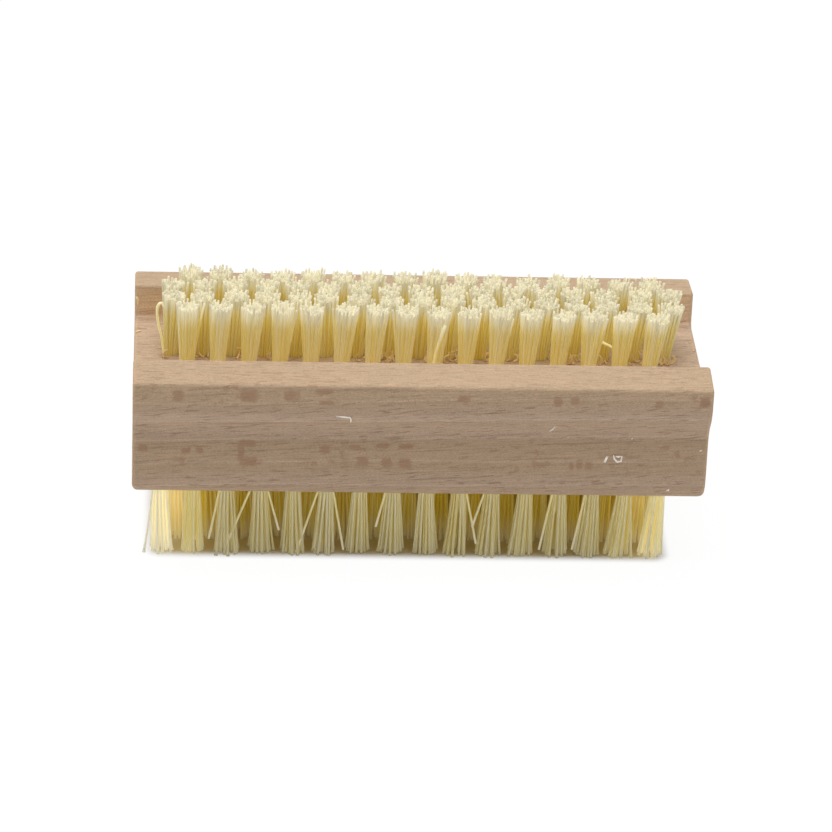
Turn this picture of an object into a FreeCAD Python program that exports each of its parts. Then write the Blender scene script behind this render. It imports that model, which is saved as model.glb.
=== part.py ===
"""Double-sided nail brush: a beech block with a channel between two raised rails, and tufts of filament
in blind holes of both faces, each folded round a flat metal anchor that bites into the wood.

Millimetres. +X runs along the block, -Y is the front, +Z is up. The origin is the middle of the plane
of the lower bristle tips, which the brush stands on.
"""
import FreeCAD, Part
import math
import os

from FreeCAD import Vector

# Wooden block
BODY_LENGTH = 95.0
BODY_DEPTH = 44.4  # across the two rails
BODY_HEIGHT = 23.75  # underside to the inner edge of a rail
RAIL_WIDTH = 7.9
RAIL_FALL = 0.85  # how far a rail's top drops from its inner to its outer edge
RAIL_BAND_HEIGHT = 5.4  # outer face of a rail, down to where the side sweeps in
CHANNEL_DEPTH = 6.1
SIDE_RECESS = 3.3  # how far the lower side stands behind the rail's outer face
SWEEP_DROP = 4.0  # height of the sloping stretch between the two
SWEEP_RADIUS = 6.5
RAIL_OUTER_RADIUS = 0.6
RAIL_INNER_RADIUS = 0.6
CHANNEL_CORNER_RADIUS = 0.8
BOTTOM_EDGE_RADIUS = 4.8
END_CORNER_RADIUS = 2.6  # lower corners of the block, seen from the front
END_EDGE_RADIUS = 0.5
END_RADIUS_LIMIT_SHARE = 0.9  # of the tightest outer rounding that an end edge runs round

# Tufts in the channel
TOP_ROW_COUNTS = (16, 17, 17, 16)
TOP_END_MARGIN = 6.25  # end of the block to the first tuft of a long row
TOP_ROW_PITCH = 4.5
TOP_FIELD_SHIFT = 3.0  # how far the upper tufts stand behind the middle of the channel
TOP_HOLE_DIAMETER = 2.7
TOP_BRISTLE_LENGTH = 10.6  # above the channel floor

# Tufts under the block
BOTTOM_ROW_COUNTS = (16, 15, 16, 15, 16)
BOTTOM_END_MARGIN = 5.8
BOTTOM_ROW_PITCH = 5.7
BOTTOM_FIELD_SHIFT = -1.2  # how far along the block the lower tufts stand from its middle
BOTTOM_HOLE_DIAMETER = 2.9
BOTTOM_BRISTLE_LENGTH = 13.0  # below the underside

# Tufts and holes of both faces
CORE_THICKNESS = 2.0  # solid wood left between the upper and the lower holes
DRILL_POINT_ANGLE = 118.0  # degrees, at the blind end of a hole
TUFT_CLEARANCE = 0.05  # between a tuft and its hole, all round
TIP_GAP = 0.4  # least room between the tips of neighbouring tufts
TUFT_RIDGES = 8  # gathers of filament that show round a tuft
GROOVE_SHARE = 0.68  # of the tip's radius, left at the bottom of the grooves between ridges

# Anchors
ANCHOR_THICKNESS = 0.35
ANCHOR_HEIGHT = 2.0
ANCHOR_BITE = 0.45  # how far each end of an anchor enters the wood beside the hole
ANCHOR_CLEARANCE = 0.02
FOLD_THICKNESS = 0.9  # filaments that pass between an anchor and the end of its hole

# Values that follow from these sizes
HALF_LENGTH = BODY_LENGTH / 2
HALF_DEPTH = BODY_DEPTH / 2
HALF_CHANNEL = HALF_DEPTH - RAIL_WIDTH
HALF_UNDERSIDE = HALF_DEPTH - SIDE_RECESS
UNDERSIDE_Z = BOTTOM_BRISTLE_LENGTH
RAIL_Z = UNDERSIDE_Z + BODY_HEIGHT
RAIL_EDGE_Z = RAIL_Z - RAIL_FALL
FLOOR_Z = RAIL_Z - CHANNEL_DEPTH
HOLE_DEPTH = (FLOOR_Z - UNDERSIDE_Z - CORE_THICKNESS) / 2

UP = Vector(0, 0, 1)
ALONG = Vector(1, 0, 0)


def rounded_section(corners):
    """Closed face in the plane x = 0 through (y, z, radius) corners, each rounded by its radius."""
    points = [Vector(0, y, z) for y, z, radius in corners]
    rounds = []
    for i, corner in enumerate(corners):
        radius = corner[2]
        back = (points[i - 1] - points[i]).normalize()
        ahead = (points[(i + 1) % len(points)] - points[i]).normalize()
        half_angle = back.getAngle(ahead) / 2
        reach = radius / math.tan(half_angle)
        middle = (back + ahead).normalize() * (radius / math.sin(half_angle) - radius)
        rounds.append((points[i] + back * reach, points[i] + middle, points[i] + ahead * reach))
    edges = []
    for i, (start, middle, end) in enumerate(rounds):
        edges.append(Part.Arc(start, middle, end).toShape())
        edges.append(Part.LineSegment(end, rounds[(i + 1) % len(rounds)][0]).toShape())
    return Part.Face(Part.Wire(edges))


def body_blank():
    """The block before drilling: its winged section along the whole length, with eased end edges."""
    sweep_top = RAIL_EDGE_Z - RAIL_BAND_HEIGHT
    right_side = [
        (HALF_UNDERSIDE, UNDERSIDE_Z, BOTTOM_EDGE_RADIUS),
        (HALF_UNDERSIDE, sweep_top - SWEEP_DROP, SWEEP_RADIUS),
        (HALF_DEPTH, sweep_top, SWEEP_RADIUS),
        (HALF_DEPTH, RAIL_EDGE_Z, RAIL_OUTER_RADIUS),
        (HALF_CHANNEL, RAIL_Z, RAIL_INNER_RADIUS),
        (HALF_CHANNEL, FLOOR_Z, CHANNEL_CORNER_RADIUS),
    ]
    left_side = [(-y, z, radius) for y, z, radius in reversed(right_side)]
    blank = rounded_section(right_side + left_side).extrude(ALONG * BODY_LENGTH)
    blank.translate(ALONG * -HALF_LENGTH)
    end_edges = [edge for edge in blank.Edges if edge.BoundBox.XLength < END_EDGE_RADIUS]
    tightest = min(RAIL_INNER_RADIUS, RAIL_OUTER_RADIUS, BOTTOM_EDGE_RADIUS)
    eased = blank.makeFillet(min(END_EDGE_RADIUS, END_RADIUS_LIMIT_SHARE * tightest), end_edges)
    return eased.common(front_outline())


def front_outline():
    """The block's front outline, through its whole depth. Its upper roundings lie above the rails."""
    right_side = [
        (HALF_LENGTH, UNDERSIDE_Z, END_CORNER_RADIUS),
        (HALF_LENGTH, RAIL_Z + END_CORNER_RADIUS, END_CORNER_RADIUS),
    ]
    left_side = [(-x, z, radius) for x, z, radius in reversed(right_side)]
    outline = rounded_section(right_side + left_side).extrude(ALONG * BODY_DEPTH)
    outline.translate(ALONG * -HALF_DEPTH)
    outline.rotate(Vector(), UP, 90)
    return outline


def turned(profile):
    """Solid made by turning (radius, height) points of a closed outline round the upright axis."""
    points = [Vector(radius, 0, height) for radius, height in profile]
    return Part.Face(Part.makePolygon(points + points[:1])).revolve(Vector(), UP, 360)


def drill_rise(radius):
    """Height of the cone that a drill of this radius leaves at the end of a hole."""
    return radius / math.tan(math.radians(DRILL_POINT_ANGLE) / 2)


def anchor_plate(hole_diameter, clearance):
    """An anchor, or with a clearance the pocket that it fills, in a hole that opens upwards at z = 0."""
    width = hole_diameter + 2 * ANCHOR_BITE + 2 * clearance
    thickness = ANCHOR_THICKNESS + 2 * clearance
    height = ANCHOR_HEIGHT + 2 * clearance
    seat = FOLD_THICKNESS - HOLE_DEPTH + drill_rise(hole_diameter / 2) - clearance
    return Part.makeBox(width, thickness, height, Vector(-width / 2, -thickness / 2, seat))


def hole_tool(hole_diameter):
    """What is taken out of the wood for one tuft: a drilled blind hole and its anchor's pocket."""
    radius = hole_diameter / 2
    shoulder = drill_rise(radius) - HOLE_DEPTH
    drilled = turned([(0, -HOLE_DEPTH), (radius, shoulder), (radius, HOLE_DEPTH), (0, HOLE_DEPTH)])
    return drilled.fuse(anchor_plate(hole_diameter, ANCHOR_CLEARANCE)).removeSplitter()


def ridge_ring(ridge_radius, groove_radius, height):
    """Closed line round the upright axis, in and out between the ridges and grooves of a tuft."""
    points = []
    for i in range(TUFT_RIDGES):
        for part, radius in ((i, ridge_radius), (i + 1 / 2, groove_radius)):
            angle = 2 * math.pi * part / TUFT_RIDGES
            points.append(Vector(radius * math.cos(angle), radius * math.sin(angle), height))
    return Part.makePolygon(points + points[:1])


def tuft(hole_diameter, length, tip_diameter):
    """One folded tuft in a hole that opens upwards at z = 0: a round stem that fans out in ridges."""
    stem = hole_diameter / 2 - TUFT_CLEARANCE
    tip = tip_diameter / 2
    fold = TUFT_CLEARANCE - HOLE_DEPTH
    folded = turned([(0, fold), (stem, fold + drill_rise(stem)), (stem, 0), (0, 0)])
    neck = stem - TUFT_CLEARANCE
    rings = [ridge_ring(neck, neck, 0), ridge_ring(tip, tip * GROOVE_SHARE, length)]
    bundle = folded.fuse(Part.makeLoft(rings, True, True))
    return bundle.cut(anchor_plate(hole_diameter, ANCHOR_CLEARANCE))


def row_places(counts, end_margin, row_pitch, shift):
    """A list of (x, y) tuft places for each row, front row first. The longest rows reach the end margins."""
    pitch = (BODY_LENGTH - 2 * end_margin) / (max(counts) - 1)
    rows = []
    for row, count in enumerate(counts):
        y = (row - (len(counts) - 1) / 2) * row_pitch + shift.y
        rows.append([((i - (count - 1) / 2) * pitch + shift.x, y) for i in range(count)])
    return rows


def tip_diameter(rows):
    """The widest tuft tip that keeps the gap to the nearest neighbour in the same rows."""
    places = [place for row in rows for place in row]
    nearest = min(math.dist(a, b) for i, a in enumerate(places) for b in places[:i])
    return nearest - TIP_GAP


def stand(shape, place, z, upwards):
    """A copy of a shape made at z = 0, at a tuft's place on a face at height z, or hung below it."""
    copy = shape.copy()
    if not upwards:
        copy.rotate(Vector(), ALONG, 180)
    copy.translate(Vector(place[0], place[1], z))
    return copy


def write(name, shapes):
    """One file for one node, which may hold several separate solids."""
    Part.makeCompound(shapes).exportStep("parts/" + name + ".step")


def build():
    os.makedirs("parts", exist_ok=True)
    faces = (
        ("top", TOP_ROW_COUNTS, TOP_END_MARGIN, TOP_ROW_PITCH, Vector(0, TOP_FIELD_SHIFT, 0),
         TOP_HOLE_DIAMETER, TOP_BRISTLE_LENGTH, FLOOR_Z, True),
        ("bottom", BOTTOM_ROW_COUNTS, BOTTOM_END_MARGIN, BOTTOM_ROW_PITCH, Vector(BOTTOM_FIELD_SHIFT, 0, 0),
         BOTTOM_HOLE_DIAMETER, BOTTOM_BRISTLE_LENGTH, UNDERSIDE_Z, False),
    )
    holes = []
    for side, counts, end_margin, row_pitch, shift, hole_diameter, length, z, upwards in faces:
        rows = row_places(counts, end_margin, row_pitch, shift)
        bundle = tuft(hole_diameter, length, tip_diameter(rows))
        plate = anchor_plate(hole_diameter, 0)
        tool = hole_tool(hole_diameter)
        for number, row in enumerate(rows, 1):
            write(f"{side}_tuft_row_{number}", [stand(bundle, place, z, upwards) for place in row])
            write(f"{side}_anchor_row_{number}", [stand(plate, place, z, upwards) for place in row])
            holes += [stand(tool, place, z, upwards) for place in row]
    write("brush_body", [body_blank().cut(holes)])


build()
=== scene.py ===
"""Looks of a double-sided wooden nail brush: sanded beech, cream filament tufts and their small flaws."""

import math
from typing import NamedTuple

import bpy
import numpy as np
from mathutils import Matrix, Vector
from mathutils.bvhtree import BVHTree


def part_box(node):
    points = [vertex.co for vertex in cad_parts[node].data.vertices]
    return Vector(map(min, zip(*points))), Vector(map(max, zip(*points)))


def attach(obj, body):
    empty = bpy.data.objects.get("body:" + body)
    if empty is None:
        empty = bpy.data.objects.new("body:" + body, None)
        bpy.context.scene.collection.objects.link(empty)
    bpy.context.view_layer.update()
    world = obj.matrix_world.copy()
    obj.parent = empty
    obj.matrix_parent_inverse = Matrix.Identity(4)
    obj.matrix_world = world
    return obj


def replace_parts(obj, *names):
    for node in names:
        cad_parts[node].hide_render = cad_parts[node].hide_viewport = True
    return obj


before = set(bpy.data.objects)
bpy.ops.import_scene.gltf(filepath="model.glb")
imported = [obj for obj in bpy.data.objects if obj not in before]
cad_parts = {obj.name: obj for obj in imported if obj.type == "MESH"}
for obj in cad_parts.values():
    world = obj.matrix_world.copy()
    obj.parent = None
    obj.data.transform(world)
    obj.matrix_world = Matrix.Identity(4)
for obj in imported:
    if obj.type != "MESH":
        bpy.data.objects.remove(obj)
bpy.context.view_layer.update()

MM = 0.001

# The block: its box from the frame, and the floor of its channel, which no box gives
BODY_LOW, BODY_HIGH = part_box("brush_body")
HALF_LENGTH = BODY_HIGH.x
UNDERSIDE_Z = BODY_LOW.z
FLOOR_Z = 30.65 * MM

# Tufts: how many stand in each row, front row first
TOP_COUNTS = (16, 17, 17, 16)
BOTTOM_COUNTS = (16, 15, 16, 15, 16)

# Filaments
TOP_FILAMENT_RADIUS = 0.245 * MM
BOTTOM_FILAMENT_RADIUS = 0.195 * MM
FILAMENT_SIDES = 6
ROOT_DEPTH = 1.0 * MM  # how far the drawn part of a filament reaches into its hole
CROWN_SHARE = 0.1  # of its radius, by which a strand's cut end is domed
FAN_POWER = 1.18  # above 1, a tuft fans out more towards its tips

# The photograph's view, with angles in degrees
VIEW_DISTANCE = 764.1 * MM
VIEW_ELEVATION = 26.109
VIEW_YAW = 3.536
VIEW_ROLL = 2.294
PICTURE_SIZE = 832
PIXELS_PER_MM = 6.1331  # at that distance
FOCAL_PIXELS = PIXELS_PER_MM * VIEW_DISTANCE / MM
SENSOR_WIDTH = 36.0
AIM_FROM = Vector((0, -21.5 * MM, 35.9 * MM))
AIM_SHIFT = (1.20 * MM, 5.017 * MM)


class Wire:
    """A shader socket in a Python expression. Each operator adds one Math node."""

    def __init__(self, paint, socket):
        self.paint = paint
        self.socket = socket

    def beside(self, out):
        """Another output of the same node."""
        return Wire(self.paint, self.socket.node.outputs[out])

    def __add__(self, other):
        return self.paint.maths("ADD", self, other)

    def __sub__(self, other):
        return self.paint.maths("SUBTRACT", self, other)

    def __rsub__(self, other):
        return self.paint.maths("SUBTRACT", other, self)

    def __mul__(self, other):
        return self.paint.maths("MULTIPLY", self, other)

    def __truediv__(self, other):
        return self.paint.maths("DIVIDE", self, other)

    def __pow__(self, other):
        return self.paint.maths("POWER", self, other)

    def __abs__(self):
        return self.paint.maths("ABSOLUTE", self)

    __radd__ = __add__
    __rmul__ = __mul__


class Paint:
    """The nodes of a new material or world, added one by one."""

    def __init__(self, owner):
        self.owner = owner
        owner.use_nodes = True
        self.tree = owner.node_tree
        self.tree.nodes.clear()

    def node(self, kind, settings, sockets, out=0):
        """Adds a node, its settings first and then its sockets, and gives one of its outputs."""
        made = self.tree.nodes.new("ShaderNode" + kind)
        for name, value in settings.items():
            setattr(made, name, value)
        for name, value in sockets.items():
            if isinstance(value, Wire):
                self.tree.links.new(value.socket, made.inputs[name])
            else:
                made.inputs[name].default_value = value
        return Wire(self, made.outputs[out])

    def maths(self, operation, *values):
        return self.node("Math", {"operation": operation}, dict(enumerate(values)))

    def smaller(self, a, b):
        return self.maths("MINIMUM", a, b)

    def larger(self, a, b):
        return self.maths("MAXIMUM", a, b)

    def step(self, value, low, high):
        """0 below low, 1 above high, and a smooth ramp between."""
        settings = {"interpolation_type": "SMOOTHSTEP"}
        return self.node("MapRange", settings, {"Value": value, "From Min": low, "From Max": high})

    def band(self, value, rise, fall):
        """1 between two smooth ramps, each given by where it begins and ends."""
        return self.step(value, *rise) * (1 - self.step(value, *fall))

    def vector(self, operation, a, b):
        return self.node("VectorMath", {"operation": operation}, {0: a, 1: b})

    def scaled(self, vector, scale):
        return self.node("VectorMath", {"operation": "SCALE"}, {0: vector, "Scale": scale})

    def mix(self, share, a, b, blend="MIX"):
        return self.node("Mix", {"data_type": "RGBA", "blend_type": blend}, {0: share, 6: a, 7: b}, 2)

    def brightened(self, colour, share):
        """The colour times a share that varies over the surface."""
        grey = self.node("CombineColor", {}, {0: share, 1: share, 2: share})
        return self.mix(1.0, colour, grey, "MULTIPLY")

    def place(self):
        """Place on the piece in millimetres of the row frame."""
        return self.scaled(self.node("TexCoord", {}, {}, "Object"), 1 / MM)

    def attribute(self, name):
        return self.node("Attribute", {"attribute_name": name}, {}, "Fac")

    def noise(self, where, fineness, detail=2.0, rough=0.5, out="Fac"):
        """Noise with so many features to the millimetre along x, y and z."""
        where = self.vector("MULTIPLY", where, fineness)
        sockets = {"Vector": where, "Scale": 1.0, "Detail": detail, "Roughness": rough}
        return self.node("TexNoise", {}, sockets, out)

    def finish(self, shader):
        kind = "World" if isinstance(self.owner, bpy.types.World) else "Material"
        ending = self.tree.nodes.new("ShaderNodeOutput" + kind)
        self.tree.links.new(shader.socket, ending.inputs["Surface"])
        return self.owner


def rgb(red, green, blue):
    return (red, green, blue, 1.0)


# Beech: its colours
BEECH = rgb(0.56, 0.405, 0.285)
BEECH_LOWER_LAYER = rgb(0.555, 0.395, 0.258)
BEECH_UPPER_LAYER = rgb(0.575, 0.41, 0.265)
BEECH_LATE_WOOD = rgb(0.46, 0.32, 0.205)
BEECH_PALE_WOOD_AND_HIGHLIGHT = rgb(0.68, 0.54, 0.42)
BEECH_RAY = rgb(0.42, 0.24, 0.145)
BEECH_DASH = rgb(0.33, 0.195, 0.125)
BEECH_LINE = rgb(0.37, 0.25, 0.165)
BEECH_PORE = rgb(0.36, 0.245, 0.165)
BEECH_WORN_END = rgb(0.70, 0.48, 0.29)

# Beech: where its layers begin and end, as heights in millimetres, and how they run
UPPER_RAY_LAYER = (31.8, 33.6)
LOWER_RAY_LAYER = ((17.6, 19.6), (24.2, 25.2))
# A pale band, a painted highlight across the front's sweep, which also paints the channel's floor and the
# foot of its walls paler
PALE_HIGHLIGHT_BAND = ((28.9, 29.8), (30.2, 31.0))
LAYER_HEIGHT = 4.4  # from one growth layer to the next
GRAIN_RISE = 0.065  # of fibres and lines, along the block
DASH_RISE = 0.12
GRAIN_DRIFT = 0.02  # of the grain towards the front, along the block

# Beech: parts of the block that look different, in millimetres
FLECK_DEPTH = (-16.0, -12.0)  # y at which the flecks of the front fade
CHANNEL_WALL_Y = 14.3  # from the middle plane to either wall of the channel
WALL_FADE = (0.25, 0.45)  # from a wall's plane
WALL_FOOT_FADE = (0.05, 0.35)  # above the channel's floor
WALL_TOP_FADE = (0.78, 0.38)  # below the rails
WALL_PAINTED_LIGHT = 0.42  # share by which the routed walls are painted brighter, as painted bounce light
WORN_END_FADE = (46.8, 47.3)  # from the middle of the block

# Broad rays that show on the front of the block: x, z, half width and half height in millimetres
FLECKS = (
    (-40.1, 33.8, 0.9, 1.0), (-28.6, 34.0, 1.4, 1.2), (-21.9, 34.1, 1.0, 0.9), (-16.4, 34.8, 1.4, 0.5),
    (-15.9, 32.9, 1.3, 0.4), (6.5, 33.9, 1.1, 0.6), (21.9, 33.6, 0.7, 0.9), (24.7, 33.8, 0.7, 0.7),
    (38.6, 33.3, 0.6, 0.7), (46.0, 33.9, 0.9, 0.9), (-45.7, 22.6, 0.7, 0.7), (-38.7, 22.3, 0.8, 0.5),
    (-36.4, 22.3, 0.6, 0.5), (-28.6, 23.7, 1.5, 0.6), (-28.4, 20.4, 1.5, 0.9), (-29.6, 22.1, 0.6, 1.5),
    (-15.8, 22.8, 0.8, 0.8), (-10.9, 23.2, 0.9, 0.5), (-9.6, 20.6, 1.0, 0.9), (-6.3, 23.5, 1.1, 0.45),
    (-5.6, 20.5, 0.9, 0.9), (-2.4, 23.5, 1.2, 0.5), (-2.6, 20.4, 1.0, 0.9), (25.0, 20.2, 0.4, 0.7),
    (26.3, 20.6, 0.5, 0.8), (27.9, 20.3, 0.6, 0.7),
)
FLECK_FADE = (0.45, 1.5)  # from the middle of a fleck, where 1 is its own edge
NO_FLECK = 9.0  # farther than any fade


def shaken(paint, place, fineness, rough, reach):
    """The place moved to and fro by a noise, so that what is drawn with it has ragged edges."""
    noise = paint.noise(place, fineness, 3.0, rough, "Color")
    shift = paint.vector("MULTIPLY", paint.vector("SUBTRACT", noise, (0.5, 0.5, 0.5)), reach)
    return paint.vector("ADD", place, shift)


def along_grain(paint, place, x, rise):
    """The place in wood whose grain rises along the block."""
    drift = paint.node("CombineXYZ", {}, {0: 0.0, 1: GRAIN_DRIFT * x, 2: -rise * x})
    return paint.vector("ADD", place, drift)


def growth_layers(paint, place, x, z):
    """Late wood and pale lines of the growth layers, then the upper and lower layers of the block, and a
    pale band that is a painted highlight on the front's sweep.
    """
    wander = paint.noise(place, (0.014, 0.05, 0.06))
    age = paint.maths("FRACT", (z - 0.02 * x + 3.4 * wander) / LAYER_HEIGHT)
    late = paint.band(age, (0.35, 0.95), (0.96, 1.0))
    pale_line = paint.band(age, (0.0, 0.04), (0.05, 0.14))
    level = z - 0.012 * x + 1.6 * (wander - 0.5)
    upper_layer = paint.step(level, *UPPER_RAY_LAYER)
    lower_layer = paint.band(level, *LOWER_RAY_LAYER)
    pale_highlight_band = paint.band(level, *PALE_HIGHLIGHT_BAND)
    return late, pale_line, upper_layer, lower_layer, pale_highlight_band


def fleck_mask(paint, where):
    """1 on the broad rays of the block's front, whose edges are as ragged as the place is shaken."""
    nearest = NO_FLECK
    for x, z, half_width, half_height in FLECKS:
        apart = paint.vector("SUBTRACT", where, (x, 0, z))
        apart = paint.vector("MULTIPLY", apart, (1 / half_width, 0, 1 / half_height))
        squared = paint.vector("MULTIPLY", apart, apart)
        reach = paint.node("VectorMath", {"operation": "LENGTH"}, {0: squared}, "Value")
        nearest = paint.smaller(reach, nearest)
    return 1 - paint.step(nearest, *FLECK_FADE)


def broad_rays(paint, place, y, ray_layer):
    """Upright ribbons in loose groups, thin from front to back, and the flecks of the front."""
    swayed = shaken(paint, place, (1.1, 1.1, 1.5), 0.75, (2.0, 0.30, 1.9))
    groups = paint.step(paint.noise(place, (0.085, 0.1, 0.1), 1.0), 0.47, 0.60)
    ribbons = paint.step(paint.noise(swayed, (0.60, 2.8, 0.66), 0.0), 0.62, 0.68)
    ragged = shaken(paint, place, (1.6, 1.6, 4.5), 0.7, (1.7, 0.0, 0.9))
    flecks = fleck_mask(paint, ragged) * (1 - paint.step(y, *FLECK_DEPTH))
    return paint.larger(0.7 * (ribbons * groups * ray_layer), flecks)


def channel_walls(paint, y, z):
    """1 on the two routed walls of the channel."""
    foot, top = FLOOR_Z / MM, BODY_HIGH.z / MM
    upright = paint.band(z, [foot + up for up in WALL_FOOT_FADE], [top - down for down in WALL_TOP_FADE])
    return (1 - paint.step(abs(abs(y) - CHANNEL_WALL_Y), *WALL_FADE)) * upright


def beech():
    """Sanded, unvarnished beech as a solid wood: growth layers lie flat, and rays stand upright in them."""
    paint = Paint(bpy.data.materials.new("sanded_beech"))
    place = paint.place()
    x = paint.node("SeparateXYZ", {}, {0: place})
    y, z = x.beside("Y"), x.beside("Z")
    late, pale_line, upper_layer, lower_layer, pale_highlight_band = growth_layers(paint, place, x, z)
    ray_layer = paint.larger(upper_layer, lower_layer)
    rays = broad_rays(paint, place, y, ray_layer)

    # Narrow rays and vessels: thin dashes and lines along the grain
    rising = along_grain(paint, place, x, GRAIN_RISE)
    steeper = along_grain(paint, place, x, DASH_RISE)
    dashes = paint.step(paint.noise(steeper, (0.36, 3.6, 3.6), 0.0), 0.665, 0.73)
    fibre = paint.noise(rising, (0.16, 4.2, 4.2), 3.0, 0.7)
    lines = paint.step(paint.noise(rising, (0.05, 2.2, 2.2), 1.0), 0.60, 0.70)
    pores = paint.step(paint.noise(place, (0.7, 5.5, 5.5), 1.0, 0.4), 0.64, 0.73)
    fuzz = paint.noise(place, (3.2, 5.6, 5.6), 2.0, 0.8)

    ground = paint.mix(lower_layer, BEECH, BEECH_LOWER_LAYER)
    ground = paint.mix(upper_layer, ground, BEECH_UPPER_LAYER)
    ground = paint.mix(late * 0.22, ground, BEECH_LATE_WOOD)
    # Pale growth lines, and the painted highlight band
    ground = paint.mix(pale_line * 0.32 + pale_highlight_band * 0.2, ground, BEECH_PALE_WOOD_AND_HIGHLIGHT)
    streaked = paint.step(fibre + 0.5 * fuzz, 0.58, 0.80)
    ground = paint.mix(rays * (0.15 + 0.65 * streaked), ground, BEECH_RAY)
    ground = paint.mix(dashes * (0.55 - 0.25 * ray_layer), ground, BEECH_DASH)
    ground = paint.mix(lines * 0.38, ground, BEECH_LINE)
    ground = paint.mix(pores * 0.30, ground, BEECH_PORE)
    ground = paint.brightened(ground, 0.24 + 0.62 * fibre + 0.92 * fuzz)

    # The routed walls are painted brighter, as painted bounce light, and the sawn ends are worn pale and
    # warm along
    # # their edge
    ground = paint.brightened(ground, 1 + WALL_PAINTED_LIGHT * channel_walls(paint, y, z))
    ground = paint.mix(paint.step(abs(x), *WORN_END_FADE) * 0.55, ground, BEECH_WORN_END)

    relief = 0.5 * fibre + 0.6 * fuzz - 0.8 * pores - 0.35 * rays - 0.5 * lines - 0.5 * dashes
    bump = paint.node("Bump", {}, {"Strength": 0.6, "Distance": 0.08 * MM, "Height": relief}, "Normal")
    return paint.finish(paint.node("BsdfPrincipled", {}, {
        "Base Color": ground, "Roughness": 0.60 + 0.2 * fuzz, "Normal": bump, "Specular IOR Level": 0.25}))


# What each point of a strand is marked with: its place from root to tip, the strand's own tint, its painted
# shade, and the strength of its painted glow
STRAND_MARKS = ("along", "tint", "painted_shade", "painted_glow")

# Filament: its own colour outside a bundle, the darker gold painted as shade deep in a bundle, its tips and
# # cut ends painted darker as shade, and the painted glow that it gives there
FILAMENT_OUTSIDE = rgb(0.97, 0.905, 0.62)
FILAMENT_PAINTED_SHADE = rgb(0.85, 0.66, 0.09)
FILAMENT_TIP_PAINTED_SHADE = rgb(0.44, 0.415, 0.33)
FILAMENT_CUT_PAINTED_SHADE = rgb(0.30, 0.285, 0.225)
PAINTED_GLOW_OUTSIDE = rgb(0.195, 0.17, 0.056)
PAINTED_GLOW_INSIDE = rgb(0.05, 0.037, 0.0)
PAINTED_GLOW_TIP = rgb(0.395, 0.365, 0.265)
PAINTED_END_GLOW_OUTSIDE = rgb(0.165, 0.165, 0.15)
PAINTED_END_GLOW_INSIDE = rgb(0.165, 0.148, 0.085)


def filament():
    """Cream nylon. A painted glow, pale at the tips and dim gold where the bundle is deep, brightens it;
    deep in a bundle it is painted darker gold as shade, and its tips and cut ends are painted darker.
    """
    paint = Paint(bpy.data.materials.new("cream_filament"))
    along, tint, painted_shade, painted_glow = (paint.attribute(mark) for mark in STRAND_MARKS)
    painted_shade_share = paint.smaller(paint.larger(painted_shade + 0.5 * (tint - 0.5), 0.0), 1.0)
    tip = paint.step(along, 0.58, 0.98)
    cut = paint.step(along, 0.975, 0.985)
    # Painted shade: deep in a bundle the skin turns darker gold, and the tips and cut ends are painted
    # darker
    skin = paint.mix(painted_shade_share, FILAMENT_OUTSIDE, FILAMENT_PAINTED_SHADE)
    skin = paint.mix(0.8 * tip, skin, FILAMENT_TIP_PAINTED_SHADE)
    skin = paint.mix(cut, skin, FILAMENT_CUT_PAINTED_SHADE)
    glow = paint.mix(painted_shade_share, PAINTED_GLOW_OUTSIDE, PAINTED_GLOW_INSIDE)
    glow = paint.mix(tip, glow, PAINTED_GLOW_TIP)
    end_glow = paint.mix(painted_shade_share, PAINTED_END_GLOW_OUTSIDE, PAINTED_END_GLOW_INSIDE)
    glow = paint.mix(paint.step(painted_glow, 0.9, 1.6), glow, end_glow)
    glow = paint.scaled(glow, painted_glow * (0.65 + 0.7 * tint))
    return paint.finish(paint.node("BsdfPrincipled", {}, {
        "Base Color": skin, "Roughness": 0.42 + 0.16 * tint, "Specular IOR Level": 0.25,
        "Emission Color": glow, "Emission Strength": 1.0}))


def raw_fibre():
    """Torn beech fibre, paler than the sanded faces, with a faint painted glow that keeps it bright in
    shade.
    """
    paint = Paint(bpy.data.materials.new("raw_beech_fibre"))
    colour = paint.mix(paint.attribute("tint"), rgb(0.78, 0.55, 0.29), rgb(0.90, 0.70, 0.42))
    colour = paint.mix(paint.attribute("along") * 0.4, colour, rgb(0.92, 0.78, 0.54))
    return paint.finish(paint.node("BsdfPrincipled", {}, {
        "Base Color": colour, "Roughness": 0.75, "Specular IOR Level": 0.2,
        "Emission Color": rgb(0.07, 0.048, 0.02), "Emission Strength": 1.0}))


def pale_sliver():
    """A raised sliver of sapwood, almost white, with a painted glow that keeps it bright on the shaded
    front.
    """
    paint = Paint(bpy.data.materials.new("pale_sliver"))
    grain = paint.noise(paint.place(), (3.0, 9.0, 9.0))
    colour = paint.mix(grain, rgb(0.84, 0.80, 0.74), rgb(0.97, 0.95, 0.90))
    return paint.finish(paint.node("BsdfPrincipled", {}, {
        "Base Color": colour, "Roughness": 0.7, "Specular IOR Level": 0.2,
        "Emission Color": rgb(0.22, 0.21, 0.19), "Emission Strength": 1.0}))


def anchor_wire():
    """Flat drawn steel wire, dull, with fine lines along it."""
    paint = Paint(bpy.data.materials.new("flat_anchor_wire"))
    lines = paint.noise(paint.place(), (0.8, 14.0, 14.0))
    colour = paint.mix(lines, rgb(0.50, 0.48, 0.45), rgb(0.66, 0.64, 0.60))
    return paint.finish(paint.node("BsdfPrincipled", {}, {
        "Base Color": colour, "Metallic": 1.0, "Roughness": 0.32 + 0.2 * lines}))


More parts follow.
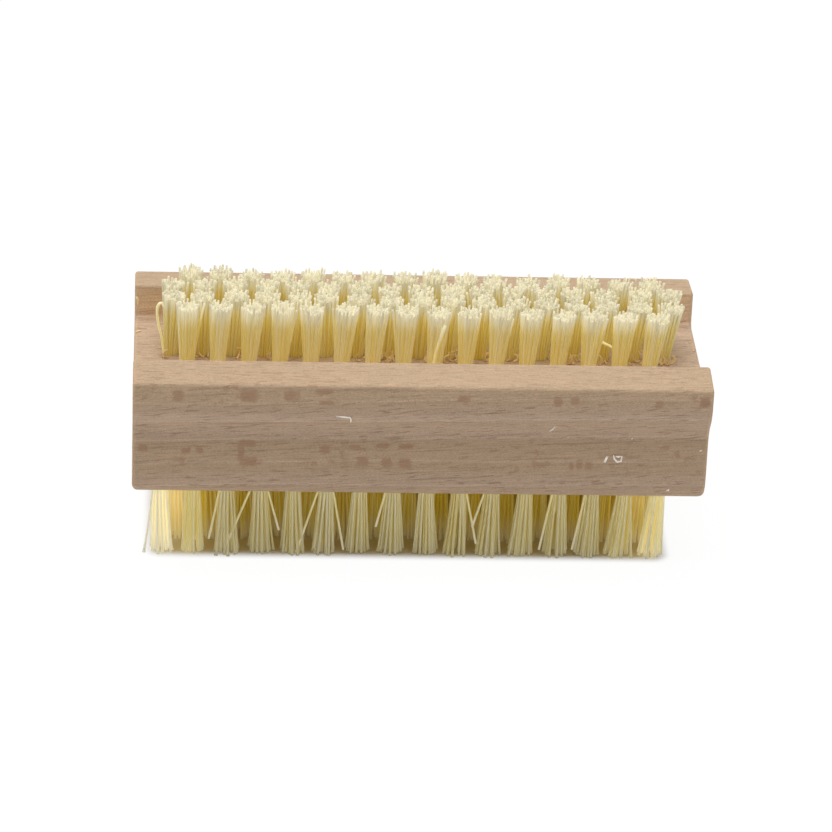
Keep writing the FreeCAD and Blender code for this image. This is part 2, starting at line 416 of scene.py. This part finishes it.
class Strands:
    """Many round strands that become one mesh."""

    def __init__(self):
        self.points = []
        self.faces = []
        self.marks = {mark: [] for mark in STRAND_MARKS}
        self.rounded = []
        self.count = 0

    def add(self, path, radii, along, tint, painted_shade=0.0, painted_glow=1.0, sides=FILAMENT_SIDES):
        """One strand through the path's points, with a radius and a place along it at each."""
        path = np.asarray(path, float)
        radii = np.asarray(radii, float)
        heading = np.gradient(path, axis=0)
        heading /= np.linalg.norm(heading, axis=1)[:, None]
        across = np.cross(heading, (0.31, 0.95, 0.05))  # any direction that no strand follows
        across /= np.linalg.norm(across, axis=1)[:, None]
        over = np.cross(heading, across)
        turn = (np.arange(sides) * 2 * math.pi / sides)[None, :, None]
        offsets = np.cos(turn) * across[:, None, :] + np.sin(turn) * over[:, None, :]
        points = path[:, None, :] + offsets * radii[:, None, None]
        rings, first = len(path), self.count
        self.points.append(points.reshape(-1, 3))
        self.points.append(path[-1:] + heading[-1:] * radii[-1] * CROWN_SHARE)
        for i in range(rings - 1):
            low, high = first + i * sides, first + (i + 1) * sides
            for j in range(sides):
                k = (j + 1) % sides
                self.faces.append((low + j, low + k, high + k, high + j))
        last, crown = first + (rings - 1) * sides, first + rings * sides
        for j in range(sides):
            self.faces.append((last + j, last + (j + 1) % sides, crown))
        self.faces.append(tuple(first + j for j in reversed(range(sides))))
        self.rounded += [True] * (rings - 1) * sides + [False] * (sides + 1)
        added = rings * sides + 1
        self.marks["along"].append(np.append(np.repeat(along, sides), 1.0))
        self.marks["tint"].append(np.full(added, tint))
        # Painted shade and painted glow, one value for each ring or one for the whole strand
        for mark, values in (("painted_shade", painted_shade), ("painted_glow", painted_glow)):
            values = np.broadcast_to(values, rings)
            self.marks[mark].append(np.append(np.repeat(values, sides), values[-1]))
        self.count += added

    def piece(self, name, material, slot):
        """The strands as one piece that rides on the brush, with smooth sides and crisp ends."""
        mesh = bpy.data.meshes.new(name)
        mesh.from_pydata(np.concatenate(self.points).tolist(), [], self.faces)
        for mark, values in self.marks.items():
            mesh.attributes.new(mark, "FLOAT", "POINT").data.foreach_set("value", np.concatenate(values))
        mesh.polygons.foreach_set("use_smooth", self.rounded)
        mesh.materials.append(material)
        made = bpy.data.objects.new(name, mesh)
        bpy.context.scene.collection.objects.link(made)
        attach(made, "root")
        return made


class TuftKind(NamedTuple):
    """How the filaments of one face's tufts stand."""
    circles: tuple  # how many filaments stand in each circle, middle one first
    thickness: float  # radius of a filament
    root: float  # radius of the bundle where it leaves the wood
    tip: float  # radius of the bundle at its tips
    ragged: float  # how far a tip strays from its even place
    strays_share: float  # of the filaments, those that stand well away from the bundle
    stray_reach: float
    uneven_share: float  # of the length, by which the tips' heights differ
    taper_share: float  # of its radius, by which a filament is thinner at its tip
    swell_share: float  # of its radius, by which a cut tip may be wider
    bow: float  # how far a filament bends sideways at mid length
    along_shares: tuple  # where on the finish's scale from root to tip a filament begins and ends
    core_share: float  # of the length, up to which the bundle is packed
    core_tip_share: float  # of the bundle's radius there


class TuftPaintedLight(NamedTuple):
    """How much painted shade a tuft has and how much painted glow comes out of it, at root and tips."""
    root_shade: float
    tip_shade: float
    root_glow: float
    tip_glow: float


class Tuft(NamedTuple):
    """Where one tuft stands."""
    foot: np.ndarray  # middle of the bundle where it leaves the wood
    rise: int  # 1 up or -1 down
    length: float
    longest: float  # that any of its filaments may be
    lean: np.ndarray  # how far its tips stand aside, in x and y
    end_painted_light: float  # more painted glow near the ends of the block, standing in for light from the white surroundings


UPPER_TUFT = TuftKind(
    circles=(3, 8, 13, 17), thickness=TOP_FILAMENT_RADIUS, root=1.06 * MM, tip=1.92 * MM,
    ragged=0.11 * MM, strays_share=0.06, stray_reach=0.6 * MM, uneven_share=0.02, taper_share=0.3,
    swell_share=0.1, bow=0.03 * MM, along_shares=(0.0, 0.97), core_share=0.93, core_tip_share=0.92)
LOWER_TUFT = TuftKind(
    circles=(1, 5, 9, 14), thickness=BOTTOM_FILAMENT_RADIUS, root=1.08 * MM, tip=1.9 * MM,
    ragged=0.22 * MM, strays_share=0.05, stray_reach=0.8 * MM, uneven_share=0.012, taper_share=0.0,
    swell_share=0.9, bow=0.04 * MM, along_shares=(0.35, 0.75), core_share=0.4, core_tip_share=0.5)

# Painted shade and painted glow of the rows, front row first
UPPER_PAINTED_LIGHT = (
    TuftPaintedLight(0.5, 0.25, 0.75, 0.95), TuftPaintedLight(0.65, 0.3, 0.3, 0.95),
    TuftPaintedLight(0.95, 0.35, 0.15, 0.95), TuftPaintedLight(0.5, 0.3, 0.5, 0.95))
LOWER_OUTER_ROW = TuftPaintedLight(0.25, 0.12, 0.25, 0.3)
LOWER_INNER_ROW = TuftPaintedLight(0.9, 0.7, 0.8, 0.3)
LOWER_MIDDLE_ROW = TuftPaintedLight(1.0, 0.8, 0.3, 0.1)
LOWER_PAINTED_LIGHT = (LOWER_OUTER_ROW, LOWER_INNER_ROW, LOWER_MIDDLE_ROW, LOWER_INNER_ROW, LOWER_OUTER_ROW)

TOP_TRIM_SLOPE = -0.0145  # rise of the cut of the upper tufts along the block
TIP_OVERRUN = 1.0 * MM  # how far the longest upper filaments may stand above their solids
TRIM_SPREAD = 0.012  # of the length, by which tufts differ in height
TILT_SPREAD = 0.02  # slope of the cut across one tuft
SHORT_SHARE = 0.08  # of the filaments, those that are cut short
SHORT_BY = (0.02, 0.10)  # of the length

# Painted glow at the ends of the lower rows, for light from the white surroundings: how much, where it
# begins
# # and how far on it is full, the last two as shares of the half length
END_PAINTED_GLOW = 1.3
END_PAINTED_GLOW_FROM = 0.62
END_PAINTED_GLOW_RUN = 0.28

# Where a filament has its rings, as shares of its free length, and how much of its swelling each has
RING_SHARES = np.array([0.0, 0.2, 0.42, 0.64, 0.84, 0.96, 1.0])
TIP_SWELLS = np.array([0, 0, 0, 0, 0, 0.3, 1.0])

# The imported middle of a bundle
CORE_RINGS = 5
CORE_SIDES = 10
CORE_PAINTED_SHADE = 0.2  # how much more painted shade it has than its filaments
# share of the tuft's painted glow at the root that the core gives
CORE_PAINTED_GLOW_SHARE = 0.8


def row_places(node, count):
    """(x, y) of the tufts of one row, from the space that its solids fill."""
    low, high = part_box(node)
    tip_radius = (high.y - low.y) / 2
    places = np.linspace(low.x + tip_radius, high.x - tip_radius, count)
    return [(x, (low.y + high.y) / 2) for x in places]


def add_core(strands, kind, finish, tuft):
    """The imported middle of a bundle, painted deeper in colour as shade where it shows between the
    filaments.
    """
    up = np.array([0, 0, tuft.rise])
    shares = np.linspace(0, kind.core_share, CORE_RINGS)
    fan = shares ** FAN_POWER
    path = tuft.foot + np.outer(fan, np.append(tuft.lean, 0)) + np.outer(shares, up * tuft.length)
    widths = kind.root + (kind.tip - kind.root) * fan
    widths = widths * np.linspace(1.0, kind.core_tip_share, CORE_RINGS)
    from_root = np.append(0.0, shares)
    begin, end = kind.along_shares
    # finish holds the tuft's painted shade and painted glow; the core takes more painted shade
    painted_shades = CORE_PAINTED_SHADE + finish.root_shade + (finish.tip_shade - finish.root_shade) * from_root
    painted_glow = CORE_PAINTED_GLOW_SHARE * finish.root_glow + tuft.end_painted_light
    strands.add(np.vstack([tuft.foot - up * ROOT_DEPTH, path]), np.append(kind.root, widths),
                begin + (end - begin) * from_root, 0.5, painted_shades, painted_glow, CORE_SIDES)


def add_tuft(strands, rng, kind, finish, tuft):
    """One tuft: filaments packed in the hole that fan out to their cut tips."""
    from_root = np.append(0.0, RING_SHARES)
    begin, end = kind.along_shares
    scale = begin + (end - begin) * from_root
    # finish holds the tuft's painted shade and painted glow, from root to tips; lights is the painted glow
    painted_shades = finish.root_shade + (finish.tip_shade - finish.root_shade) * from_root
    lights = finish.root_glow + (finish.tip_glow - finish.root_glow) * from_root ** 2 + tuft.end_painted_light
    foot, length = tuft.foot, tuft.length
    tilt = rng.normal(0, TILT_SPREAD, 2)
    trim = rng.normal(0, TRIM_SPREAD) * length
    add_core(strands, kind, finish, tuft)
    for circle, count in enumerate(kind.circles):
        share = (circle + 0.5) / (len(kind.circles) - 0.5)
        first_angle = rng.uniform(0, 2 * math.pi)
        for i in range(count):
            angle = first_angle + (i + rng.uniform(-0.22, 0.22)) * 2 * math.pi / count
            outward = np.array([math.cos(angle), math.sin(angle)]) * share * rng.uniform(0.95, 1.0)
            start = outward * kind.root
            tip = outward * kind.tip + rng.normal(0, kind.ragged, 2) + tuft.lean
            if rng.random() < kind.strays_share:
                tip = tip + outward * kind.stray_reach * rng.uniform(0.3, 1.0)
                tip = tip + rng.normal(0, 0.4 * kind.stray_reach, 2)
            own = length + trim + tilt @ (outward * kind.tip) + rng.normal(0, kind.uneven_share) * length
            if rng.random() < SHORT_SHARE:
                own -= rng.uniform(*SHORT_BY) * length
            own = min(own, tuft.longest)
            bow = rng.normal(0, kind.bow, 2)
            shares = RING_SHARES[:, None]
            flat = start + (tip - start) * shares ** FAN_POWER + bow * 4 * shares * (1 - shares)
            path = foot + np.column_stack([flat, tuft.rise * own * RING_SHARES])
            path = np.vstack([[*(foot[:2] + start), foot[2] - tuft.rise * ROOT_DEPTH], path])
            radii = kind.thickness * rng.uniform(0.92, 1.08) * (1 - kind.taper_share * from_root)
            radii = radii * (1 + np.append(0.0, TIP_SWELLS) * rng.uniform(0, kind.swell_share))
            # Filaments nearer the bundle's middle get more painted shade
            strands.add(path, radii, scale, rng.random(), painted_shades + 0.3 * (1 - share), lights)


def build_upper_tufts(material):
    """Rows in the channel, each for its row of solids. They lean to the right, most at that end."""
    top_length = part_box("top_tuft_row_1")[1].z - FLOOR_Z
    for number, count in enumerate(TOP_COUNTS, 1):
        rng = np.random.default_rng(40 + number)
        node = f"top_tuft_row_{number}"
        strands = Strands()
        for x, y in row_places(node, count):
            right_share = (x / HALF_LENGTH + 1) / 2
            lean = np.array([0.3 * MM + 0.9 * MM * right_share ** 3, 0]) + rng.normal(0, 0.2 * MM, 2)
            length = top_length + TOP_TRIM_SLOPE * x
            tuft = Tuft(np.array([x, y, FLOOR_Z]), 1, length, top_length + TIP_OVERRUN, lean, 0.0)
            add_tuft(strands, rng, UPPER_TUFT, UPPER_PAINTED_LIGHT[number - 1], tuft)
        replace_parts(strands.piece(f"top_bristles_{number}", material, "filament"), node)


def build_lower_tufts(material):
    """Rows under the block, each for its row of solids. They lean inwards, more at the right."""
    longest = UNDERSIDE_Z - BOTTOM_FILAMENT_RADIUS
    for number, count in enumerate(BOTTOM_COUNTS, 1):
        rng = np.random.default_rng(60 + number)
        node = f"bottom_tuft_row_{number}"
        strands = Strands()
        for x, y in row_places(node, count):
            right_share = (x / HALF_LENGTH + 1) / 2
            lean = np.array([0.5 * MM - 1.3 * MM * right_share, 0]) + rng.normal(0, 0.25 * MM, 2)
            near_end = min(1.0, max(0.0, (abs(x) / HALF_LENGTH - END_PAINTED_GLOW_FROM) / END_PAINTED_GLOW_RUN))
            foot = np.array([x, y, UNDERSIDE_Z])
            tuft = Tuft(foot, -1, UNDERSIDE_Z, longest, lean, END_PAINTED_GLOW * near_end ** 2)
            add_tuft(strands, rng, LOWER_TUFT, LOWER_PAINTED_LIGHT[number - 1], tuft)
        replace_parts(strands.piece(f"bottom_bristles_{number}", material, "filament"), node)


def view_axes():
    """Where the photograph was taken from, and its right, up and forward directions."""
    elevation, yaw, roll = (math.radians(a) for a in (VIEW_ELEVATION, VIEW_YAW, VIEW_ROLL))
    level = math.cos(elevation)
    forward = Vector((math.sin(yaw) * level, math.cos(yaw) * level, -math.sin(elevation)))
    right = Vector((math.cos(yaw), -math.sin(yaw), 0))
    up = right.cross(forward)
    place = AIM_FROM - right * AIM_SHIFT[0] - up * AIM_SHIFT[1] - forward * VIEW_DISTANCE
    turned_right = right * math.cos(roll) + up * math.sin(roll)
    turned_up = up * math.cos(roll) - right * math.sin(roll)
    return place, turned_right, turned_up, forward


def photo_camera():
    """The camera at the photograph's place, turn and field of view."""
    place, right, up, forward = view_axes()
    data = bpy.data.cameras.new("photo_camera")
    data.sensor_width = SENSOR_WIDTH
    data.lens = SENSOR_WIDTH * FOCAL_PIXELS / PICTURE_SIZE
    data.clip_start = 0.05
    data.clip_end = 20
    camera = bpy.data.objects.new("photo_camera", data)
    camera.matrix_world = Matrix.Translation(place) @ Matrix((right, up, -forward)).transposed().to_4x4()
    bpy.context.scene.collection.objects.link(camera)
    bpy.context.scene.camera = camera


def seen_points(wood, pixels, lift):
    """Points just off the block that show at these pixels of the photograph."""
    place, right, up, forward = view_axes()
    middle = PICTURE_SIZE / 2
    points = []
    for px, py in pixels:
        way = forward * FOCAL_PIXELS + right * (px - middle) + up * (middle - py)
        hit, normal, index, distance = wood.ray_cast(place, way.normalized())
        if hit:
            points.append(hit + normal * lift)
    return np.array(points)


SLIVER_LIFT = 0.1 * MM  # of a sliver's middle line over the face
# Raised slivers of pale wood: their half width in millimetres and the pixels that they pass
SLIVERS = (
    (0.13, ((336, 416), (343, 416.4), (350, 417), (351, 419), (350.8, 421.5))),
    (0.22, ((604.5, 462), (606, 459), (607.5, 456))),
    (0.17, ((613.5, 455), (614.5, 459), (617, 461.5), (621, 461), (622, 456))),
    (0.16, ((616, 456), (618, 456.4), (620.5, 456))),
    (0.09, ((549.5, 430.8), (552.5, 428.8), (555.5, 426))),
    (0.13, ((631.5, 438.6), (633, 438))),
    (0.15, ((699.5, 450.8), (702, 450))),
    (0.18, ((666.5, 490.2), (669, 489.4))),
)
# Lifted chips at the sawn ends, in the same way
CHIPS = (
    (0.22, ((136.8, 296.5), (138.0, 300), (138.2, 304.5))),
    (0.20, ((136, 333.2), (138.5, 331.6), (141, 331.4))),
    (0.14, ((688.5, 342.5), (690.5, 344))),
    (0.14, ((692.8, 352), (694.2, 350.6))),
)
# Loose fibres along the left sawn edge: how many, and the pixels between which they begin
EDGE_FIBRES = 26
EDGE_FIBRE_ROWS = (366, 404)
EDGE_FIBRE_COLUMN = 134.5
EDGE_FIBRE_SPREAD = 0.7
EDGE_FIBRE_SINK = 0.05 * MM  # of its root under the face
EDGE_FIBRE_RADIUS = 0.05 * MM


def build_slivers():
    """Torn slivers on the faces. Chips and loose fibres of the sawn ends are given back as strands."""
    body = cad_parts["brush_body"].data
    wood = BVHTree.FromPolygons([v.co for v in body.vertices], [p.vertices for p in body.polygons])
    rng = np.random.default_rng(7)
    slivers = Strands()
    fibres = Strands()
    for strands, table in ((slivers, SLIVERS), (fibres, CHIPS)):
        for half_width, pixels in table:
            path = seen_points(wood, pixels, SLIVER_LIFT)
            if len(path) < 2:
                continue
            share = np.linspace(0, 1, len(path))
            radii = half_width * MM * (0.45 + 0.55 * np.sin(math.pi * (0.15 + 0.7 * share)))
            strands.add(path, radii, share, rng.random(), sides=5)
    slivers.piece("pale_slivers", pale_sliver(), "beech")
    for py in np.linspace(*EDGE_FIBRE_ROWS, EDGE_FIBRES):
        px = EDGE_FIBRE_COLUMN + rng.uniform(0, EDGE_FIBRE_SPREAD)
        start = seen_points(wood, [(px, py)], -EDGE_FIBRE_SINK)
        if not len(start):
            continue
        away = np.array([-1, rng.uniform(-0.5, 0.1), rng.uniform(-0.7, 0.7)]) * rng.uniform(0.2, 0.55) * MM
        droop = np.array([0, 0, rng.uniform(-0.25, 0.1)]) * MM
        share = np.linspace(0, 1, 4)[:, None]
        radii = EDGE_FIBRE_RADIUS * (1.05 - share[:, 0])
        fibres.add(start + away * share + droop * share ** 2, radii, share[:, 0], rng.random(), sides=4)
    return fibres


def smooth_path(points, count):
    """A smooth run of points through the given ones."""
    points = np.asarray(points, float)
    given = np.linspace(0, 1, len(points))
    wanted = np.linspace(0, 1, count)
    slopes = np.gradient(points, given, axis=0)
    index = np.clip(np.searchsorted(given, wanted, "right") - 1, 0, len(points) - 2)
    step = given[1]
    t = ((wanted - given[index]) / step)[:, None]
    ease = 3 * t ** 2 - 2 * t ** 3
    leaving = slopes[index] * step * (t ** 3 - 2 * t ** 2 + t)
    arriving = slopes[index + 1] * step * (t ** 3 - t ** 2)
    return points[index] * (1 - ease) + points[index + 1] * ease + leaving + arriving


# Loose filaments of the upper tufts: row, tuft from the left, how many rings, and the points that they pass
# in millimetres from where the tuft leaves the floor. One is looped, one lies sideways, and one leans across
# its tuft
LOOPED = (2, 0, 24, (
    (-1.2, -0.2, -0.6), (-1.55, -0.3, 2.5), (-2.15, -0.4, 5.2), (-2.45, -0.4, 7.6),
    (-2.3, -0.4, 8.8), (-1.9, -0.3, 9.25), (-1.5, -0.2, 8.95), (-1.1, 0.0, 7.9)))
SIDEWAYS = (1, 14, 6, ((-0.6, 1.2, 3.2), (-1.4, 1.9, 3.5), (-2.3, 2.5, 3.7), (-3.0, 3.0, 3.9)))
ACROSS = (1, 8, 10, ((-0.3, -1.2, -0.6), (0.0, -1.4, 2.8), (0.6, -1.6, 5.6), (1.4, -1.9, 8.6)))
# Filaments of the lower front row that stand away from their tuft: the tuft's number from the left, how far
# to the side the tip lies and how high over the ground, in millimetres
LOWER_STRAYS = (
    (2, -2.8, 2.7), (3, -5.4, 1.6), (3, 3.3, 4.5), (5, -4.8, 0.3), (5, 3.1, 0.9), (7, -2.7, 5.3),
    (9, 3.1, 2.3), (10, -3.2, 5.5), (12, -2.9, 1.3), (13, -2.9, 1.4), (15, -1.2, 1.0))
STRAY_FRONT = 1.3 * MM  # how far in front of its hole's middle a stray's tip stands
STRAY_ASIDE = 0.7 * MM  # how far beside the hole's middle it leaves the wood
STRAY_RINGS = 6


def build_loose_filaments(material):
    """Filaments that have left their tufts, above and below."""
    strands = Strands()
    for row, number, count, turns in (LOOPED, SIDEWAYS, ACROSS):
        place = row_places(f"top_tuft_row_{row}", TOP_COUNTS[row - 1])[number]
        path = smooth_path(turns, count) * MM + np.array([*place, FLOOR_Z])
        strands.add(path, np.full(count, TOP_FILAMENT_RADIUS), np.linspace(0.3, 0.93, count), 0.9)
    lower = row_places("bottom_tuft_row_1", BOTTOM_COUNTS[0])
    share = np.linspace(0, 1, STRAY_RINGS)
    for number, aside, height in LOWER_STRAYS:
        x, y = lower[number]
        root_x = x + math.copysign(STRAY_ASIDE, aside)
        root = np.array([root_x, y - STRAY_FRONT / 2, UNDERSIDE_Z + ROOT_DEPTH])
        tip = np.array([x + aside * MM, y - STRAY_FRONT, height * MM])
        path = root + (tip - root) * share[:, None]
        radii = np.full(STRAY_RINGS, BOTTOM_FILAMENT_RADIUS)
        # painted shade 0.1 and painted glow 0.7
        strands.add(path, radii, 0.4 + 0.5 * share, 0.6, 0.1, 0.7)
    strands.piece("loose_filaments", material, "filament")


# How many shavings lie by each tuft of the second upper row, from the left
SHAVING_COUNTS = (5, 6, 3, 3, 0, 0, 4, 14, 6, 8, 3, 4, 3, 9, 9, 10, 14)
SHAVING_LIFT = 0.05 * MM  # of its first point over the floor
SHAVING_RINGS = 9


def build_shavings(fibres):
    """Curled shavings that the drill left round the upper tufts, with the fibres of the sawn ends."""
    rng = np.random.default_rng(23)
    share = np.linspace(0, 1, SHAVING_RINGS)
    for (x, y), count in zip(row_places("top_tuft_row_2", TOP_COUNTS[1]), SHAVING_COUNTS):
        for i in range(count):
            angle = rng.uniform(-2.6, 0.1)
            distance = rng.uniform(1.5, 2.6) * MM
            aside = distance * np.array([math.cos(angle), math.sin(angle), 0])
            start = np.array([x, y, FLOOR_Z + SHAVING_LIFT]) + aside
            heading = rng.uniform(0, 2 * math.pi)
            radius = rng.uniform(0.5, 1.1) * MM
            turn = np.linspace(0, rng.uniform(1.4, 4.2), SHAVING_RINGS)
            flat = np.array([math.cos(heading), math.sin(heading), 0])
            side = np.array([-math.sin(heading), math.cos(heading), 0])
            path = start + radius * (np.sin(turn)[:, None] * flat + 0.12 * turn[:, None] * side)
            path[:, 2] += radius * (1 - np.cos(turn)) * 0.9
            radii = rng.uniform(0.13, 0.24) * MM * (1.1 - share ** 2)
            fibres.add(path, radii, share, rng.random(), sides=4)
    fibres.piece("wood_shavings", raw_fibre(), "beech")


# The studio, with the floor's marks in millimetres and the rest in metres and watts
FLOOR_REACH = 3.0
SHADE_END_MARGIN = 3.0  # how far inside the front row's ends the shaded ground begins to fade
SHADE_HALF_DEPTH = 11.5
SHADE_FADE = (0.5, 3.5)
# Painted shade under the tufts: where the ground's darker, warmer colour fades out, and that colour
PAINTED_SHADE_FADE = (0.0, 2.0)
GROUND_PAINTED_SHADE = rgb(0.80, 0.70, 0.50)
GROUND_AWAY = rgb(0.86, 0.86, 0.86)
WHITE_SHARE = 0.92
WHITE_STRENGTH = 1.04
ROOM_LIGHT = 0.12
LAMPS = (  # name, place, width and power
    ("overhead_softbox", (-0.12, 0.0, 0.9), 0.9, 9.2),
    ("front_card", (0.55, -0.65, 0.2), 0.4, 0.55),
)


def white_seen(paint):
    """1 for rays that show the background: from the camera, in gloss and through glass."""
    camera = paint.node("LightPath", {}, {}, "Is Camera Ray")
    glossy = camera.beside("Is Glossy Ray")
    return paint.larger(paint.larger(camera, glossy), camera.beside("Is Transmission Ray"))


def studio_floor():
    """A wide white floor. It keeps the brush's shadow and fades to plain white away from the tufts; under
    the tufts its colour is painted darker and warmer, as painted shade.
    """
    paint = Paint(bpy.data.materials.new("white_floor"))
    x = paint.node("SeparateXYZ", {}, {0: paint.place()})
    low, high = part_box("bottom_tuft_row_1")
    middle, half_length = (low.x + high.x) / 2 / MM, (high.x - low.x) / 2 / MM
    aside = paint.larger(abs(x - middle) - (half_length - SHADE_END_MARGIN), 0.0)
    ahead = paint.larger(abs(x.beside("Y")) - SHADE_HALF_DEPTH, 0.0)
    away = (aside * aside + ahead * ahead) ** 0.5
    white_share = white_seen(paint) * (WHITE_SHARE * paint.step(away, *SHADE_FADE))
    lit_colour = paint.mix(paint.step(away, *PAINTED_SHADE_FADE), GROUND_PAINTED_SHADE, GROUND_AWAY)
    lit = paint.node("BsdfDiffuse", {}, {"Color": lit_colour})
    white = paint.node("Emission", {}, {"Strength": WHITE_STRENGTH})
    material = paint.finish(paint.node("MixShader", {}, {0: white_share, 1: lit, 2: white}))
    mesh = bpy.data.meshes.new("studio_floor")
    corners = [(FLOOR_REACH * i, FLOOR_REACH * j, 0) for i, j in ((-1, -1), (1, -1), (1, 1), (-1, 1))]
    mesh.from_pydata(corners, [], [(0, 1, 2, 3)])
    mesh.materials.append(material)
    floor = bpy.data.objects.new("studio_floor", mesh)
    bpy.context.scene.collection.objects.link(floor)


def studio_light():
    """A wide soft box overhead, a card at the front and a pale room."""
    paint = Paint(bpy.data.worlds.new("pale_room"))
    strength = ROOM_LIGHT + (1 - ROOM_LIGHT) * white_seen(paint)
    room = paint.node("Background", {}, {"Color": rgb(1.0, 1.0, 1.0), "Strength": strength})
    bpy.context.scene.world = paint.finish(room)
    for name, place, width, power in LAMPS:
        data = bpy.data.lights.new(name, "AREA")
        data.shape = "SQUARE"
        data.size = width
        data.energy = power
        lamp = bpy.data.objects.new(name, data)
        lamp.location = place
        lamp.rotation_euler = (-Vector(place)).to_track_quat("-Z", "Y").to_euler()
        bpy.context.scene.collection.objects.link(lamp)


def dress_nodes():
    """Finishes of the solids that stay as they are."""
    finishes = {"brush_body": beech()}
    steel = anchor_wire()
    for node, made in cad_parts.items():
        if "anchor" in node:
            finishes[node] = steel
        if node in finishes:
            made.data.materials.clear()
            made.data.materials.append(finishes[node])


dress_nodes()
filament_finish = filament()
build_upper_tufts(filament_finish)
build_lower_tufts(filament_finish)
build_loose_filaments(filament_finish)
build_shavings(build_slivers())
studio_floor()
studio_light()
photo_camera()
bpy.context.scene.view_settings.view_transform = "Standard"
